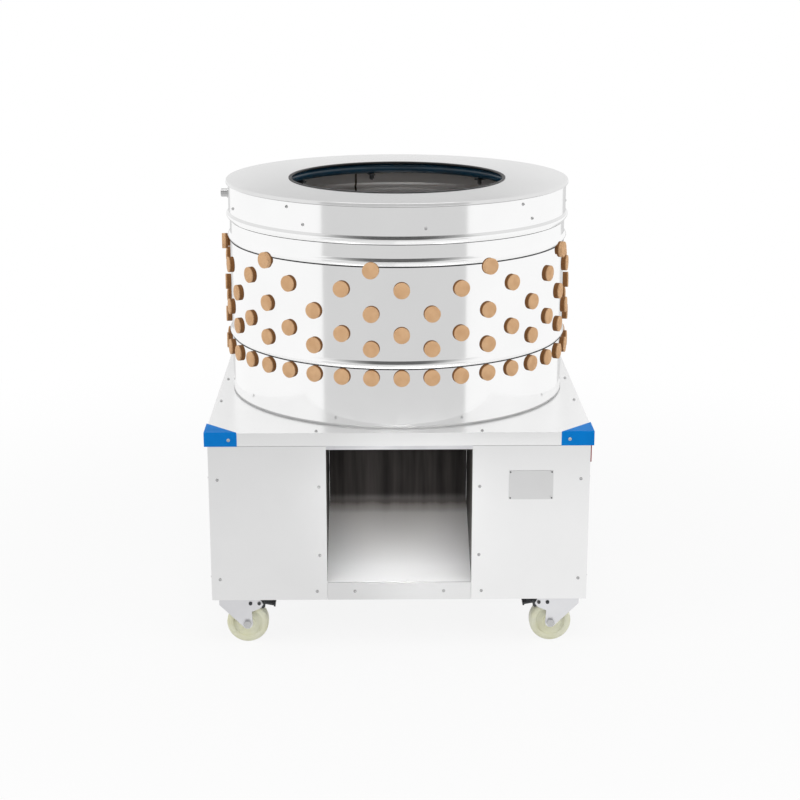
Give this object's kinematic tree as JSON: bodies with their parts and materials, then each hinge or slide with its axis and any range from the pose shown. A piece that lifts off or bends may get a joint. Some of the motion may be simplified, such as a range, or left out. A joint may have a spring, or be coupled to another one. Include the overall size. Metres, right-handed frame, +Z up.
{
  "type": "poultry plucker",
  "caption": "Drum poultry plucker on castors: square sheet-steel base with a discharge chute, rubber-fingered drum, spray ring and spinning finger plate.",
  "frame": {"origin": "on the floor under the drum axis, the middle of the bounding box at its base", "axes": "+Z up along the drum axis, front with the discharge chute towards -Y, switch side towards +X"},
  "size_m": [0.6612, 0.6592, 0.7705],
  "materials": {
    "panel_steel": "satin brushed stainless sheet",
    "drum_steel": "bright rolled stainless sheet",
    "guard_blue": "blue powder coat",
    "finger_rubber": "tan natural rubber",
    "trim_rubber": "black edge trim",
    "spray_tube": "dark blue plastic tube",
    "zinc_steel": "zinc plated steel",
    "screw_steel": "plain stainless fasteners",
    "cast_iron": "grey cast iron",
    "shaft_steel": "ground steel",
    "motor_paint": "grey blue motor enamel",
    "belt_rubber": "black belt rubber",
    "seal_rubber": "black seal rubber",
    "nameplate_metal": "blank satin plate",
    "clip_steel": "dark coated strap",
    "inlet_steel": "turned stainless",
    "switch_plastic": "black moulded plastic",
    "start_green": "green moulded plastic",
    "stop_red": "red moulded plastic",
    "sweeper_rubber": "black rubber blade",
    "castor_steel": "bright zinc plate",
    "wheel_nylon": "cream nylon",
    "pedal_steel": "black coated steel"
  },
  "bodies": {
    "base": {"front_left_panel": "panel_steel", "front_right_panel": "panel_steel", "left_side_panel": "panel_steel", "right_side_panel": "panel_steel", "rear_panel": "panel_steel", "chute_sill": "panel_steel", "chute_scoop": "panel_steel", "chute_cheeks": "panel_steel", "deck": "panel_steel", "drum_shell": "drum_steel", "rim_cover": "drum_steel", "corner_guards": "guard_blue", "lower_fingers": "finger_rubber", "middle_fingers": "finger_rubber", "upper_fingers": "finger_rubber", "rim_trim": "trim_rubber", "spray_ring": "spray_tube", "corner_posts": "zinc_steel", "frame_rails": "zinc_steel", "castor_pads": "zinc_steel", "bearing_beams": "zinc_steel", "motor_cradle": "zinc_steel", "base_screws": "screw_steel", "rim_screws": "screw_steel", "drive_bolts": "screw_steel", "castor_bolts": "screw_steel", "bearing_housing": "cast_iron", "shaft_bearings": "shaft_steel", "motor_body": "motor_paint", "motor_fan_cowl": "motor_paint", "motor_terminal_box": "motor_paint", "v_belt": "belt_rubber", "shaft_seal": "seal_rubber", "nameplate": "nameplate_metal", "spray_clips": "clip_steel", "water_inlet": "inlet_steel", "switch_housing": "switch_plastic", "cable_gland": "switch_plastic", "castor_plates": "castor_steel"},
    "plate": {"turntable": "drum_steel", "turntable_fingers": "finger_rubber", "sweepers": "sweeper_rubber", "hub": "cast_iron", "main_shaft": "shaft_steel", "hub_nut": "screw_steel", "driven_pulley": "cast_iron"},
    "motor_rotor": {"motor_shaft": "shaft_steel", "drive_pulley": "cast_iron"},
    "start_button": {"start_button": "start_green"},
    "stop_button": {"stop_button": "stop_red"},
    "front_left_swivel": {"front_left_fork": "castor_steel"},
    "front_left_wheel": {"front_left_wheel": "wheel_nylon"},
    "front_right_swivel": {"front_right_fork": "castor_steel"},
    "front_right_wheel": {"front_right_wheel": "wheel_nylon"},
    "rear_left_swivel": {"rear_left_fork": "castor_steel"},
    "rear_left_wheel": {"rear_left_wheel": "wheel_nylon"},
    "rear_right_swivel": {"rear_right_fork": "castor_steel"},
    "rear_right_wheel": {"rear_right_wheel": "wheel_nylon"},
    "front_left_pedal": {"front_left_pedal": "pedal_steel"},
    "front_right_pedal": {"front_right_pedal": "pedal_steel"}
  },
  "joints": [
    {"name": "plate_spin", "type": "hinge", "parent": "base", "child": "plate", "pos_m": [0, 0, 0.3885], "axis": [0, 0, 1], "continuous": true},
    {"name": "motor_spin", "type": "hinge", "parent": "base", "child": "motor_rotor", "pos_m": [0, 0.2, 0.1295], "axis": [0, 0, 1], "continuous": true},
    {"name": "start_press", "type": "slide", "parent": "base", "child": "start_button", "axis": [-1, 0, 0], "range_m": [0, 0.003], "stiffness_N_per_m": 300},
    {"name": "stop_press", "type": "slide", "parent": "base", "child": "stop_button", "axis": [-1, 0, 0], "range_m": [0, 0.003], "stiffness_N_per_m": 300},
    {"name": "front_left_swivel_turn", "type": "hinge", "parent": "base", "child": "front_left_swivel", "pos_m": [-0.283, -0.283, 0.1035], "axis": [0, 0, 1], "continuous": true},
    {"name": "front_left_wheel_roll", "type": "hinge", "parent": "front_left_swivel", "child": "front_left_wheel", "pos_m": [-0.263, -0.283, 0.036], "axis": [0, 1, 0], "continuous": true},
    {"name": "front_left_brake_press", "type": "hinge", "parent": "front_left_swivel", "child": "front_left_pedal", "pos_m": [-0.24198, -0.283, 0.07391], "axis": [0, 1, 0], "range_deg": [0, 8], "stiffness_Nm_per_rad": 0.3},
    {"name": "front_right_swivel_turn", "type": "hinge", "parent": "base", "child": "front_right_swivel", "pos_m": [0.283, -0.283, 0.1035], "axis": [0, 0, 1], "continuous": true},
    {"name": "front_right_wheel_roll", "type": "hinge", "parent": "front_right_swivel", "child": "front_right_wheel", "pos_m": [0.263, -0.283, 0.036], "axis": [0, 1, 0], "continuous": true},
    {"name": "front_right_brake_press", "type": "hinge", "parent": "front_right_swivel", "child": "front_right_pedal", "pos_m": [0.24198, -0.283, 0.07391], "axis": [0, -1, 0], "range_deg": [0, 8], "stiffness_Nm_per_rad": 0.3},
    {"name": "rear_left_swivel_turn", "type": "hinge", "parent": "base", "child": "rear_left_swivel", "pos_m": [-0.283, 0.283, 0.1035], "axis": [0, 0, 1], "continuous": true},
    {"name": "rear_left_wheel_roll", "type": "hinge", "parent": "rear_left_swivel", "child": "rear_left_wheel", "pos_m": [-0.263, 0.283, 0.036], "axis": [0, 1, 0], "continuous": true},
    {"name": "rear_right_swivel_turn", "type": "hinge", "parent": "base", "child": "rear_right_swivel", "pos_m": [0.283, 0.283, 0.1035], "axis": [0, 0, 1], "continuous": true},
    {"name": "rear_right_wheel_roll", "type": "hinge", "parent": "rear_right_swivel", "child": "rear_right_wheel", "pos_m": [0.263, 0.283, 0.036], "axis": [0, 1, 0], "continuous": true}
  ],
  "couplings": [
    {"joint": "motor_spin", "follows": "plate_spin", "ratio": 4}
  ]
}
